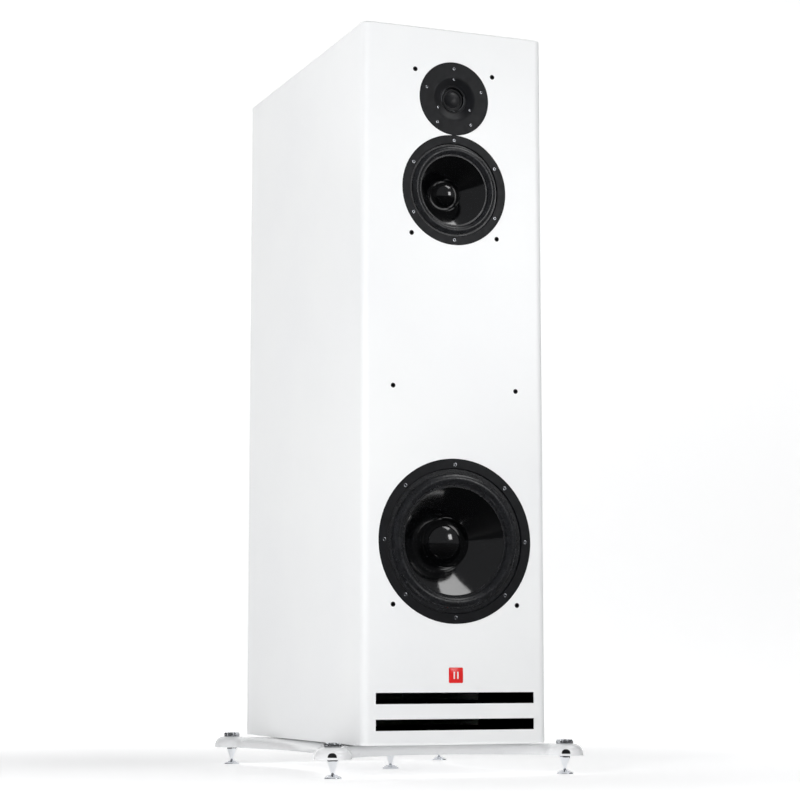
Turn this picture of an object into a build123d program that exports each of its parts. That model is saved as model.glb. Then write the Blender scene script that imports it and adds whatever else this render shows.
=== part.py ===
from build123d import *
import math
import os

# Three-way floorstanding loudspeaker, in millimetres.
# Frame: +Z up, the front baffle faces -Y, and the origin is on the floor under the middle of the part.

os.makedirs("parts", exist_ok=True)

# Cabinet
cabinet_width = 307.0
cabinet_depth = 568.0
cabinet_front = -279.0           # front face of the baffle, along Y
cabinet_bottom = 48.5
cabinet_top = 1170.0
panel = 22.0                     # side, top, bottom and rear boards
baffle_thick = 28.0
front_edge_radius = 12.0
top_edge_radius = 3.0
bottom_corner_radius = 5.0

cabinet_back = cabinet_front + cabinet_depth
cabinet_mid_y = (cabinet_front + cabinet_back) / 2
cabinet_height = cabinet_top - cabinet_bottom
baffle_back = cabinet_front + baffle_thick
inner_width = cabinet_width - 2 * panel
inner_front = baffle_back
inner_back = cabinet_back - panel
inner_bottom = cabinet_bottom + panel
inner_top = cabinet_top - panel
inner_mid_y = (inner_front + inner_back) / 2

# Slot ports
slot_height = 17.0
shelf_thick = 23.0
duct_length = 210.0              # from the baffle's face to the inner mouth
liner_wall = 1.0
slot_floors = [inner_bottom, inner_bottom + slot_height + shelf_thick]
shelf_floors = [floor + slot_height for floor in slot_floors]
shelf_depth = duct_length - baffle_thick

# Drivers: height above the floor and radius of each front flange
tweeter_height = 1058.5
mid_height = 911.2
woofer_height = 359.0
tweeter_radius = 58.9
mid_radius = 88.0
woofer_radius = 127.2
fit = 0.3                        # gap between a driver and the baffle around it
flange_depth = 5.0               # thickness of each driver's front flange
woofer_screw_circle = 118.0
mid_screw_circle = 80.0
outer_screw_circle = 49.0        # the tweeter plate's own screws
inner_screw_circle = 31.5        # the screws that hold the tweeter's motor
woofer_shank = 2.2
mid_shank = 1.9
outer_shank = 1.6
inner_shank = 1.4

# Grille sockets: half spacing and height of each pair
socket_pairs = [(66.2, 1100.3), (72.6, 837.7), (103.6, 596.3), (103.6, 260.9)]
socket_radius = 3.85
socket_bore_radius = 2.6
socket_depth = 14.0

# Badge
badge_size = 23.5
badge_height = 153.5
badge_thick = 2.0
badge_recess = 1.4

# Rear terminals
terminal_height = 255.0
terminal_width = 130.0
terminal_tall = 84.0
terminal_flange = 2.5
terminal_hole_width = 112.0
terminal_hole_tall = 66.0
terminal_sink = 30.0
post_spacing = 44.0
post_radius = 3.0
post_length = 24.0
post_tail = 14.0                 # solder end behind the cup
post_collar_radius = 6.5
post_collar_thick = 3.0
plug_bore_radius = 2.0
plug_bore_depth = 18.0
cap_radius = 8.5
cap_length = 16.0
cup_screw_head = 1.6
cup_screw_shank = 1.3
cup_screw_length = 12.0
cup_floor_thick = 3.0

# Base and feet
base_thick = 18.0
base_bottom = 29.0
base_top = base_bottom + base_thick
base_edge_radius = 15.0
lobe_radius = 29.0
foot_x = 193.0
foot_front_y = -260.0
foot_rear_y = 247.0
foot_mid_y = (foot_front_y + foot_rear_y) / 2
base_front_waist = 118.0         # how far the front and rear edges curve in between two lobes
base_side_waist = 72.0           # how far the side edges curve in
neck_radius = 26.0
stud_radius = 3.9
stud_bore_radius = 4.0
collar_radius = 8.4
collar_thick = 3.0
spike_tip_radius = 2.2
shoe_radius = 14.0
shoe_height = 6.5
shoe_floor = 2.5
knob_radius = 13.5
knob_height = 6.8
window_width = 13.6
window_tall = 6.9
window_bottom = 32.3
window_round = 6.0               # radius of the window's two upper corners
window_sink = 9.0
window_bearing = math.radians(21.8)   # both front windows are turned this far from -Y towards -X
lobe_plug_thick = 6.0
bolt_places = [(-82.0, -150.0), (82.0, -150.0), (-82.0, 137.0), (82.0, 137.0)]
bolt_radius = 3.0
bolt_head_radius = 5.5
bolt_head_tall = 5.0
pad_radius = 17.0


def driver_section(height):
    """Plane for half sections: X is the radius and Y the depth behind the baffle's face."""
    return Plane(origin=(0, cabinet_front, height), x_dir=(1, 0, 0), z_dir=(0, 0, 1))


def driver_face(height, depth=0.0):
    """Plane across a driver's axis; extrusions on it run out of the baffle, towards -Y."""
    return Plane(origin=(0, cabinet_front + depth, height), x_dir=(1, 0, 0), z_dir=(0, -1, 0))


def driver_axis(height):
    return Axis((0, cabinet_front, height), (0, 1, 0))


def box_between(low, high, mode=Mode.ADD):
    """A box given by its two corners, inside the open part."""
    size = [b - a for a, b in zip(low, high)]
    middle = [(a + b) / 2 for a, b in zip(low, high)]
    with Locations(tuple(middle)):
        Box(*size, mode=mode)


def save(piece, name):
    piece.part.label = name
    export_step(piece.part, "parts/" + name + ".step")


def half_roll(inner, outer, base_depth, thick, lip):
    """Half section of a roll surround: two flat lips and a round arch that stands forward."""
    roll = (outer - inner) / 2
    middle = (outer + inner) / 2
    outline = [(inner - lip, base_depth), (inner - lip, base_depth - thick)]
    steps = 12
    for step in range(steps + 1):
        angle = math.pi * (1 - step / steps)
        outline.append((middle + roll * math.cos(angle), base_depth - thick - 0.85 * roll * math.sin(angle)))
    outline += [(outer + lip, base_depth - thick), (outer + lip, base_depth)]
    inner_roll = roll - thick
    for step in range(steps + 1):
        angle = math.pi * step / steps
        rise = 0.85 * inner_roll * math.sin(angle)
        outline.append((middle + inner_roll * math.cos(angle), base_depth - rise))
    return outline


def cone_shell(edge_radius, edge_depth, throat_radius, neck_depth, thick):
    """Half section of a paper cone with a slightly curved flare."""
    front = []
    steps = 6
    for step in range(steps + 1):
        t = step / steps
        radius = edge_radius + (throat_radius - edge_radius) * t
        depth = edge_depth + (neck_depth - edge_depth) * (t ** 1.12)
        front.append((radius, depth))
    back = [(radius, depth + thick) for radius, depth in reversed(front)]
    return front + back


def dome_shell(radius, rim_depth, rise, thick):
    """Half section of a thin dome that bulges forward from its rim."""
    steps = 8
    outer = []
    for step in range(steps + 1):
        angle = (math.pi / 2) * step / steps
        outer.append((radius * math.cos(angle), rim_depth - rise * math.sin(angle)))
    outer[-1] = (0, rim_depth - rise)
    inner = []
    for step in range(steps, -1, -1):
        angle = (math.pi / 2) * step / steps
        inner.append(((radius - thick) * math.cos(angle), rim_depth - (rise - thick) * math.sin(angle)))
    inner[0] = (0, rim_depth - rise + thick)
    return outer + inner


# Cabinet outline, from which every outer panel takes its rounded edges
with BuildPart() as cabinet_outline:
    with Locations((0, cabinet_mid_y, (cabinet_bottom + cabinet_top) / 2)):
        Box(cabinet_width, cabinet_depth, cabinet_height)
    fillet(cabinet_outline.edges().filter_by(Axis.Z).group_by(Axis.Y)[0], radius=front_edge_radius)
    fillet(cabinet_outline.edges().filter_by(Axis.Z).group_by(Axis.Y)[-1], radius=top_edge_radius)
    fillet(cabinet_outline.faces().sort_by(Axis.Z)[-1].edges(), radius=top_edge_radius)

half_width = cabinet_width / 2
half_inner = inner_width / 2

with BuildPart() as top_panel:
    add(cabinet_outline.part)
    box_between(
        (-half_width, cabinet_front, inner_top),
        (half_width, cabinet_back, cabinet_top),
        Mode.INTERSECT,
    )
save(top_panel, "top_panel")

with BuildPart() as bottom_panel:
    add(cabinet_outline.part)
    box_between(
        (-half_width, baffle_back, cabinet_bottom),
        (half_width, cabinet_back, inner_bottom),
        Mode.INTERSECT,
    )
    with BuildSketch(Plane.XY.offset(cabinet_bottom)):
        with Locations(*bolt_places):
            Circle(bolt_radius)
    extrude(amount=panel - 4, mode=Mode.SUBTRACT)
save(bottom_panel, "bottom_panel")

with BuildPart() as left_side_panel:
    add(cabinet_outline.part)
    box_between(
        (-half_width, baffle_back, inner_bottom),
        (-half_inner, cabinet_back, inner_top),
        Mode.INTERSECT,
    )
save(left_side_panel, "left_side_panel")

with BuildPart() as right_side_panel:
    add(cabinet_outline.part)
    box_between(
        (half_inner, baffle_back, inner_bottom),
        (half_width, cabinet_back, inner_top),
        Mode.INTERSECT,
    )
save(right_side_panel, "right_side_panel")

terminal_face = Plane(origin=(0, cabinet_back, terminal_height), x_dir=(-1, 0, 0), z_dir=(0, 1, 0))
screw_places = [(-59.5, -36.5), (59.5, -36.5), (-59.5, 36.5), (59.5, 36.5)]

with BuildPart() as rear_panel:
    box_between((-half_inner, inner_back, inner_bottom), (half_inner, cabinet_back, inner_top))
    with BuildSketch(terminal_face):
        Rectangle(terminal_width + 1, terminal_tall + 1)
    extrude(amount=-terminal_flange, mode=Mode.SUBTRACT)
    with BuildSketch(terminal_face):
        Rectangle(terminal_hole_width + 1, terminal_hole_tall + 1)
    extrude(amount=-panel, mode=Mode.SUBTRACT)
    with BuildSketch(terminal_face.offset(-terminal_flange)):
        with Locations(*screw_places):
            Circle(cup_screw_shank)
    extrude(amount=-cup_screw_length, mode=Mode.SUBTRACT)
save(rear_panel, "rear_panel")

# Front baffle: rebated driver holes, slots, grille sockets and badge seat
woofer_cutout = 113.0
mid_cutout = 76.0
tweeter_cutout = 43.0

with BuildPart() as front_baffle:
    add(cabinet_outline.part)
    box_between(
        (-half_width, cabinet_front, cabinet_bottom),
        (half_width, baffle_back, inner_top),
        Mode.INTERSECT,
    )
    lower_corners = front_baffle.edges().filter_by(Axis.Y).group_by(Axis.Z)[0]
    fillet(lower_corners, radius=bottom_corner_radius)
    drivers = [
        (woofer_height, woofer_radius, woofer_cutout),
        (mid_height, mid_radius, mid_cutout),
        (tweeter_height, tweeter_radius, tweeter_cutout),
    ]
    for height, radius, cutout in drivers:
        with BuildSketch(driver_face(height)):
            Circle(radius + fit)
        extrude(amount=-flange_depth, mode=Mode.SUBTRACT)
        with BuildSketch(driver_face(height)):
            Circle(cutout)
        extrude(amount=-baffle_thick, mode=Mode.SUBTRACT)
    for floor in slot_floors:
        box_between(
            (-half_inner, cabinet_front, floor),
            (half_inner, baffle_back, floor + slot_height),
            Mode.SUBTRACT,
        )
    for half_spacing, height in socket_pairs:
        with BuildSketch(driver_face(height)):
            with Locations((-half_spacing, 0), (half_spacing, 0)):
                Circle(socket_radius)
        extrude(amount=-socket_depth, mode=Mode.SUBTRACT)
    with BuildSketch(driver_face(badge_height)):
        RectangleRounded(badge_size + 0.2, badge_size + 0.2, 2.1)
    extrude(amount=-badge_recess, mode=Mode.SUBTRACT)
    pilot_rings = [
        (woofer_height, woofer_screw_circle, 8, woofer_shank, 24.2),
        (mid_height, mid_screw_circle, 6, mid_shank, 22.2),
        (tweeter_height, outer_screw_circle, 5, outer_shank, 20.2),
    ]
    for height, circle, count, radius, depth in pilot_rings:
        with BuildSketch(driver_face(height, flange_depth)):
            with PolarLocations(circle, count, start_angle=90):
                Circle(radius)
        extrude(amount=-(depth - flange_depth), mode=Mode.SUBTRACT)
save(front_baffle, "front_baffle")

with BuildPart() as grille_sockets:
    for half_spacing, height in socket_pairs:
        with BuildSketch(driver_face(height)):
            with Locations((-half_spacing, 0), (half_spacing, 0)):
                Circle(socket_radius)
        extrude(amount=-socket_depth)
        with BuildSketch(driver_face(height)):
            with Locations((-half_spacing, 0), (half_spacing, 0)):
                Circle(socket_bore_radius)
        extrude(amount=-(socket_depth - 2), mode=Mode.SUBTRACT)
save(grille_sockets, "grille_sockets")

with BuildPart() as badge:
    with BuildSketch(driver_face(badge_height, badge_recess)):
        RectangleRounded(badge_size, badge_size, 2.0)
    extrude(amount=badge_thick)
    fillet(badge.faces().sort_by(Axis.Y)[0].edges(), radius=0.4)
save(badge, "badge")

# Inside the cabinet
chamber_floor = 770.0
brace_floors = [560.0, 640.0]
brace_thick = 18.0
brace_rim = 45.0

with BuildPart() as internal_braces:
    box_between(
        (-half_inner, inner_front, chamber_floor),
        (half_inner, inner_back, chamber_floor + brace_thick),
    )
    for floor in brace_floors:
        box_between((-half_inner, inner_front, floor), (half_inner, inner_back, floor + brace_thick))
        for low, high in [(inner_front + brace_rim, inner_mid_y - brace_rim / 2),
                          (inner_mid_y + brace_rim / 2, inner_back - brace_rim)]:
            box_between(
                (-half_inner + brace_rim, low, floor),
                (half_inner - brace_rim, high, floor + brace_thick),
                Mode.SUBTRACT,
            )
save(internal_braces, "internal_braces")

with BuildPart() as port_shelves:
    for floor in shelf_floors:
        box_between(
            (-half_inner, inner_front, floor),
            (half_inner, inner_front + shelf_depth, floor + shelf_thick),
        )
save(port_shelves, "port_shelves")

liner_set_back = 1.5
with BuildPart() as port_liners:
    for floor in slot_floors:
        box_between(
            (-half_inner, cabinet_front + liner_set_back, floor),
            (half_inner, cabinet_front + duct_length, floor + slot_height),
        )
        box_between(
            (-half_inner + liner_wall, cabinet_front, floor + liner_wall),
            (half_inner - liner_wall, cabinet_front + duct_length, floor + slot_height - liner_wall),
            Mode.SUBTRACT,
        )
save(port_liners, "port_liners")

board_front = 60.0
board_width = 200.0
board_long = 150.0
board_thick = 2.0
board_pillar = 25.5
board_bottom = shelf_floors[-1] + shelf_thick + board_pillar
board_top = board_bottom + board_thick
pillar_inset = 10.0

with BuildPart() as crossover:
    box_between(
        (-board_width / 2, board_front, board_bottom),
        (board_width / 2, board_front + board_long, board_top),
    )
    with BuildSketch(Plane.XY.offset(board_top)):
        with Locations((-62, board_front + 38), (0, board_front + 38)):
            Circle(24)
            Circle(11, mode=Mode.SUBTRACT)
    extrude(amount=26)
    with BuildSketch(Plane.XY.offset(board_top)):
        with Locations((66, board_front + 30), (66, board_front + 72)):
            Rectangle(46, 28)
        with Locations((-60, board_front + 106), (0, board_front + 106)):
            Rectangle(44, 22)
    extrude(amount=22)
    with BuildSketch(Plane.XY.offset(board_bottom - board_pillar)):
        with Locations((0, board_front + board_long / 2)):
            with GridLocations(board_width - 2 * pillar_inset, board_long - 2 * pillar_inset, 2, 2):
                Circle(5)
    extrude(amount=board_pillar)
save(crossover, "crossover")


# Woofer
woofer_section = driver_section(woofer_height)
woofer_line = driver_axis(woofer_height)
woofer_gasket = 111.2            # outer radius of the surround's lip
woofer_edge = 87.0               # inner radius of the roll
woofer_seat = 4.0                # depth of the surround's seat behind the baffle's face
woofer_coil_radius = 25.6

with BuildPart() as woofer_basket:
    with BuildSketch(woofer_section):
        Polygon(
            (woofer_radius, 0), (woofer_radius, flange_depth), (112.6, flange_depth), (111.2, 14),
            (74, 86), (74, 92), (34, 92), (34, 88), (70, 88), (70, 84), (104.5, 12), (104.5, woofer_seat),
            (woofer_gasket + 0.6, woofer_seat), (woofer_gasket + 0.6, 1.2), (woofer_gasket + 1.4, 0),
            align=None,
        )
    revolve(axis=woofer_line)
    with BuildSketch(driver_face(woofer_height, 22)):
        with PolarLocations(0, 6):
            Polygon((50, -24), (110, -42), (110, 42), (50, 24), align=None)
    extrude(amount=-58, mode=Mode.SUBTRACT)
    with BuildSketch(driver_face(woofer_height)):
        with PolarLocations(woofer_screw_circle, 8, start_angle=90):
            Circle(3.4)
    extrude(amount=-flange_depth, mode=Mode.SUBTRACT)
save(woofer_basket, "woofer_basket")

with BuildPart() as woofer_surround:
    with BuildSketch(woofer_section):
        Polygon(*half_roll(woofer_edge + 1.5, 107.0, woofer_seat, 1.2, 4.2), align=None)
    revolve(axis=woofer_line)
save(woofer_surround, "woofer_surround")

with BuildPart() as woofer_cone:
    with BuildSketch(woofer_section):
        Polygon(*cone_shell(woofer_edge, woofer_seat + 0.4, woofer_coil_radius + 0.5, 50, 1.2), align=None)
    revolve(axis=woofer_line)
save(woofer_cone, "woofer_cone")

with BuildPart() as woofer_dust_cap:
    with BuildSketch(woofer_section):
        Polygon(*dome_shell(36.5, 40.4, 15, 1.0), align=None)
    revolve(axis=woofer_line)
save(woofer_dust_cap, "woofer_dust_cap")

with BuildPart() as woofer_voice_coil:
    with BuildSketch(woofer_section):
        Polygon((25.2, 51.5), (26.0, 51.5), (26.0, 88), (26.6, 88), (26.6, 104), (25.2, 104), align=None)
    revolve(axis=woofer_line)
save(woofer_voice_coil, "woofer_voice_coil")


def spider_section(inner, outer, depth, waves, height, thick):
    """Half section of a corrugated suspension ring."""
    steps = waves * 8
    top = []
    for step in range(steps + 1):
        t = step / steps
        top.append((inner + (outer - inner) * t, depth + height * math.sin(2 * math.pi * waves * t)))
    return top + [(radius, at + thick) for radius, at in reversed(top)]


with BuildPart() as woofer_spider:
    with BuildSketch(woofer_section):
        Polygon(*spider_section(26.4, 66.0, 66, 5, 2.2, 0.8), align=None)
    revolve(axis=woofer_line)
save(woofer_spider, "woofer_spider")

with BuildPart() as woofer_top_plate:
    with BuildSketch(woofer_section):
        Polygon((27.6, 92), (72, 92), (72, 100), (27.6, 100), align=None)
    revolve(axis=woofer_line)
save(woofer_top_plate, "woofer_top_plate")

with BuildPart() as woofer_magnet:
    with BuildSketch(woofer_section):
        Polygon((34, 100), (76, 100), (76, 122), (34, 122), align=None)
    revolve(axis=woofer_line)
save(woofer_magnet, "woofer_magnet")

with BuildPart() as woofer_yoke:
    with BuildSketch(woofer_section):
        Polygon((8, 90), (24.2, 90), (24.2, 122), (72, 122), (72, 130), (8, 130), align=None)
    revolve(axis=woofer_line)
save(woofer_yoke, "woofer_yoke")


# Midrange
mid_section = driver_section(mid_height)
mid_line = driver_axis(mid_height)
mid_gasket = 73.6
mid_edge = 56.5
mid_seat = 3.6
mid_coil_radius = 19.0

with BuildPart() as mid_basket:
    with BuildSketch(mid_section):
        Polygon(
            (mid_radius, 0), (mid_radius, flange_depth), (75.6, flange_depth), (74.6, 10), (50, 60), (50, 64),
            (26, 64), (26, 61), (47, 61), (47, 58), (69.4, 10), (69.4, mid_seat),
            (mid_gasket + 0.5, mid_seat), (mid_gasket + 0.5, 1.0), (mid_gasket + 1.2, 0),
            align=None,
        )
    revolve(axis=mid_line)
    with BuildSketch(driver_face(mid_height, 16)):
        with PolarLocations(0, 6):
            Polygon((34, -14), (76, -27), (76, 27), (34, 14), align=None)
    extrude(amount=-40, mode=Mode.SUBTRACT)
    with BuildSketch(driver_face(mid_height)):
        with PolarLocations(mid_screw_circle, 6, start_angle=90):
            Circle(3.0)
    extrude(amount=-flange_depth, mode=Mode.SUBTRACT)
save(mid_basket, "mid_basket")

with BuildPart() as mid_surround:
    with BuildSketch(mid_section):
        Polygon(*half_roll(mid_edge + 1.0, 71.0, mid_seat, 1.0, 2.6), align=None)
    revolve(axis=mid_line)
save(mid_surround, "mid_surround")

with BuildPart() as mid_cone:
    with BuildSketch(mid_section):
        Polygon(*cone_shell(mid_edge, mid_seat + 0.4, mid_coil_radius + 0.4, 33, 0.9), align=None)
    revolve(axis=mid_line)
save(mid_cone, "mid_cone")

with BuildPart() as mid_dust_cap:
    with BuildSketch(mid_section):
        Polygon(*dome_shell(20.5, 31.0, 7.5, 0.8), align=None)
    revolve(axis=mid_line)
save(mid_dust_cap, "mid_dust_cap")

with BuildPart() as mid_voice_coil:
    with BuildSketch(mid_section):
        Polygon((18.6, 34.2), (19.3, 34.2), (19.3, 64), (19.8, 64), (19.8, 72), (18.6, 72), align=None)
    revolve(axis=mid_line)
save(mid_voice_coil, "mid_voice_coil")

with BuildPart() as mid_spider:
    with BuildSketch(mid_section):
        Polygon(*spider_section(19.6, 45.0, 47, 4, 1.4, 0.7), align=None)
    revolve(axis=mid_line)
save(mid_spider, "mid_spider")

with BuildPart() as mid_motor:
    with BuildSketch(mid_section):
        Polygon((20.6, 64), (48, 64), (48, 70), (20.6, 70), align=None)
    revolve(axis=mid_line)
    with BuildSketch(mid_section):
        Polygon((25, 70), (51, 70), (51, 84), (25, 84), align=None)
    revolve(axis=mid_line)
    with BuildSketch(mid_section):
        Polygon((5, 62), (17.9, 62), (17.9, 84), (48, 84), (48, 90), (5, 90), align=None)
    revolve(axis=mid_line)
save(mid_motor, "mid_motor")

# Tweeter
tweeter_section = driver_section(tweeter_height)
tweeter_line = driver_axis(tweeter_height)
throat_depth = 4.0               # how deep the shallow horn ramp ends
dome_radius = 13.0

with BuildPart() as tweeter_faceplate:
    with BuildSketch(tweeter_section):
        Polygon(
            (tweeter_radius, 0), (tweeter_radius, flange_depth), (42.6, flange_depth), (42.6, 12), (20.4, 12),
            (20.4, throat_depth + 1.4), (23, throat_depth + 1.4), (23, throat_depth), (33.5, 0.4), (36, 0),
            align=None,
        )
    revolve(axis=tweeter_line)
    with BuildSketch(driver_face(tweeter_height)):
        with PolarLocations(outer_screw_circle, 5, start_angle=90):
            Circle(2.6)
    extrude(amount=-flange_depth, mode=Mode.SUBTRACT)
    with BuildSketch(driver_face(tweeter_height)):
        with PolarLocations(inner_screw_circle, 3, start_angle=90):
            Circle(2.1)
    extrude(amount=-12, mode=Mode.SUBTRACT)
save(tweeter_faceplate, "tweeter_faceplate")

with BuildPart() as tweeter_trim_ring:
    with BuildSketch(tweeter_section):
        Polygon(
            (18.6, 12), (18.6, throat_depth + 0.6), (19.3, throat_depth),
            (20.0, throat_depth + 0.6), (20.0, 12),
            align=None,
        )
    revolve(axis=tweeter_line)
save(tweeter_trim_ring, "tweeter_trim_ring")

with BuildPart() as tweeter_dome:
    with BuildSketch(tweeter_section):
        Polygon(*dome_shell(dome_radius, 9.2, 5.0, 0.5), align=None)
    revolve(axis=tweeter_line)
save(tweeter_dome, "tweeter_dome")

with BuildPart() as tweeter_surround:
    with BuildSketch(tweeter_section):
        Polygon(*half_roll(13.6, 17.6, 9.4, 0.4, 0.3), align=None)
    revolve(axis=tweeter_line)
save(tweeter_surround, "tweeter_surround")

with BuildPart() as tweeter_voice_coil:
    with BuildSketch(tweeter_section):
        Polygon((12.5, 9.2), (12.9, 9.2), (12.9, 13), (13.2, 13), (13.2, 16.5), (12.5, 16.5), align=None)
    revolve(axis=tweeter_line)
save(tweeter_voice_coil, "tweeter_voice_coil")

with BuildPart() as tweeter_motor:
    with BuildSketch(tweeter_section):
        Polygon((13.9, 12), (38, 12), (38, 17), (13.9, 17), align=None)
    revolve(axis=tweeter_line)
    with BuildSketch(tweeter_section):
        Polygon((18, 17), (40, 17), (40, 31), (18, 31), align=None)
    revolve(axis=tweeter_line)
    with BuildSketch(tweeter_section):
        Polygon((4, 12), (11.8, 12), (11.8, 31), (38, 31), (38, 36), (4, 36), align=None)
    revolve(axis=tweeter_line)
    with BuildSketch(driver_face(tweeter_height, 12)):
        with PolarLocations(inner_screw_circle, 3, start_angle=90):
            Circle(inner_shank)
    extrude(amount=-4, mode=Mode.SUBTRACT)
save(tweeter_motor, "tweeter_motor")


def socket_screws(height, circle, count, head_radius, head_tall, key_radius, shank_radius, length, seat):
    """Cap screws round a driver: sunk heads with a hexagonal key socket."""
    with BuildPart() as screws:
        with BuildSketch(driver_face(height, seat)):
            with PolarLocations(circle, count, start_angle=90):
                Circle(head_radius)
        extrude(amount=-head_tall)
        with BuildSketch(driver_face(height, seat + head_tall)):
            with PolarLocations(circle, count, start_angle=90):
                Circle(shank_radius)
        extrude(amount=-(length - head_tall))
        with BuildSketch(driver_face(height, seat)):
            with PolarLocations(circle, count, start_angle=90):
                RegularPolygon(key_radius, 6)
        extrude(amount=-(head_tall * 0.6), mode=Mode.SUBTRACT)
    return screws


woofer_screws = socket_screws(woofer_height, woofer_screw_circle, 8, 3.3, 3.4, 1.7, woofer_shank, 24, 0.2)
save(woofer_screws, "woofer_screws")

mid_screws = socket_screws(mid_height, mid_screw_circle, 6, 2.9, 3.2, 1.5, mid_shank, 22, 0.2)
save(mid_screws, "mid_screws")

outer_screws = socket_screws(tweeter_height, outer_screw_circle, 5, 2.5, 2.8, 1.3, outer_shank, 20, 0.2)
inner_screws = socket_screws(tweeter_height, inner_screw_circle, 3, 2.0, 1.8, 1.1, inner_shank, 14, 0.8)
with BuildPart() as tweeter_screws:
    add(outer_screws.part)
    add(inner_screws.part)
save(tweeter_screws, "tweeter_screws")

# Rear terminals
post_places = [(-post_spacing / 2, 0), (post_spacing / 2, 0)]
floor_face = terminal_face.offset(-terminal_sink)

with BuildPart() as terminal_cup:
    with BuildSketch(terminal_face):
        RectangleRounded(terminal_width, terminal_tall, 4)
    extrude(amount=-terminal_flange)
    with BuildSketch(terminal_face):
        RectangleRounded(terminal_hole_width, terminal_hole_tall, 6)
    extrude(amount=-(terminal_sink + cup_floor_thick))
    with BuildSketch(terminal_face):
        RectangleRounded(terminal_hole_width - 5, terminal_hole_tall - 5, 5)
    extrude(amount=-terminal_sink, mode=Mode.SUBTRACT)
    with BuildSketch(terminal_face):
        with Locations(*screw_places):
            Circle(cup_screw_head)
    extrude(amount=-terminal_flange, mode=Mode.SUBTRACT)
    with BuildSketch(floor_face):
        with Locations(*post_places):
            Circle(post_radius)
    extrude(amount=-cup_floor_thick, mode=Mode.SUBTRACT)
save(terminal_cup, "terminal_cup")

with BuildPart() as terminal_posts:
    with BuildSketch(floor_face.offset(-post_tail)):
        with Locations(*post_places):
            Circle(post_radius)
    extrude(amount=post_tail + post_length)
    with BuildSketch(floor_face):
        with Locations(*post_places):
            Circle(post_collar_radius)
    extrude(amount=post_collar_thick)
    with BuildSketch(floor_face.offset(post_length)):
        with Locations(*post_places):
            Circle(plug_bore_radius)
    extrude(amount=-plug_bore_depth, mode=Mode.SUBTRACT)
save(terminal_posts, "terminal_posts")


def terminal_cap(place):
    """Ribbed clamping nut that turns on its post."""
    with BuildPart() as cap:
        with BuildSketch(floor_face.offset(7)):
            with Locations(place):
                Circle(cap_radius)
                with PolarLocations(cap_radius + 0.6, 12):
                    Circle(1.3, mode=Mode.SUBTRACT)
                Circle(post_radius + 0.06, mode=Mode.SUBTRACT)
        extrude(amount=cap_length)
    return cap


terminal_cap_black = terminal_cap(post_places[0])
save(terminal_cap_black, "terminal_cap_black")

terminal_cap_red = terminal_cap(post_places[1])
save(terminal_cap_red, "terminal_cap_red")

with BuildPart() as terminal_screws:
    with BuildSketch(terminal_face.offset(-terminal_flange)):
        with Locations(*screw_places):
            Circle(cup_screw_head)
    extrude(amount=terminal_flange)
    with BuildSketch(terminal_face.offset(-terminal_flange)):
        with Locations(*screw_places):
            Circle(cup_screw_shank)
    extrude(amount=-cup_screw_length)
    with BuildSketch(terminal_face):
        with Locations(*screw_places):
            Rectangle(2.0, 0.6)
            Rectangle(0.6, 2.0)
    extrude(amount=-1.2, mode=Mode.SUBTRACT)
save(terminal_screws, "terminal_screws")

# Base plate: four round lobes joined by edges that curve in
front_half_span = foot_x
side_half_span = (foot_rear_y - foot_front_y) / 2


def bulge_radius(half_span, sagitta):
    """Radius of an arc that crosses 2 * half_span with the given rise."""
    return (half_span ** 2 + sagitta ** 2) / (2 * sagitta)


def window_plane(x, y, reach):
    """Upright plane on the bottom edge of a lobe's window, at some reach from the lobe's middle."""
    outward = (-math.sin(window_bearing), -math.cos(window_bearing), 0)
    across = (math.cos(window_bearing), -math.sin(window_bearing), 0)
    origin = (x + reach * outward[0], y + reach * outward[1], window_bottom)
    return Plane(origin=origin, x_dir=across, z_dir=outward)


front_cut = bulge_radius(front_half_span, base_front_waist)
side_cut = bulge_radius(side_half_span, base_side_waist)
front_cut_y = foot_front_y - lobe_radius + base_front_waist - front_cut
rear_cut_y = foot_rear_y + lobe_radius - base_front_waist + front_cut
side_cut_x = foot_x + lobe_radius - base_side_waist + side_cut
foot_places = {
    "front_left": (-foot_x, foot_front_y),
    "front_right": (foot_x, foot_front_y),
    "rear_left": (-foot_x, foot_rear_y),
    "rear_right": (foot_x, foot_rear_y),
}
centre_place = (0.0, foot_mid_y)
corner_places = list(foot_places.values())
all_places = dict(foot_places)
all_places["centre"] = centre_place
front_lobes = [foot_places["front_left"], foot_places["front_right"]]

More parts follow.
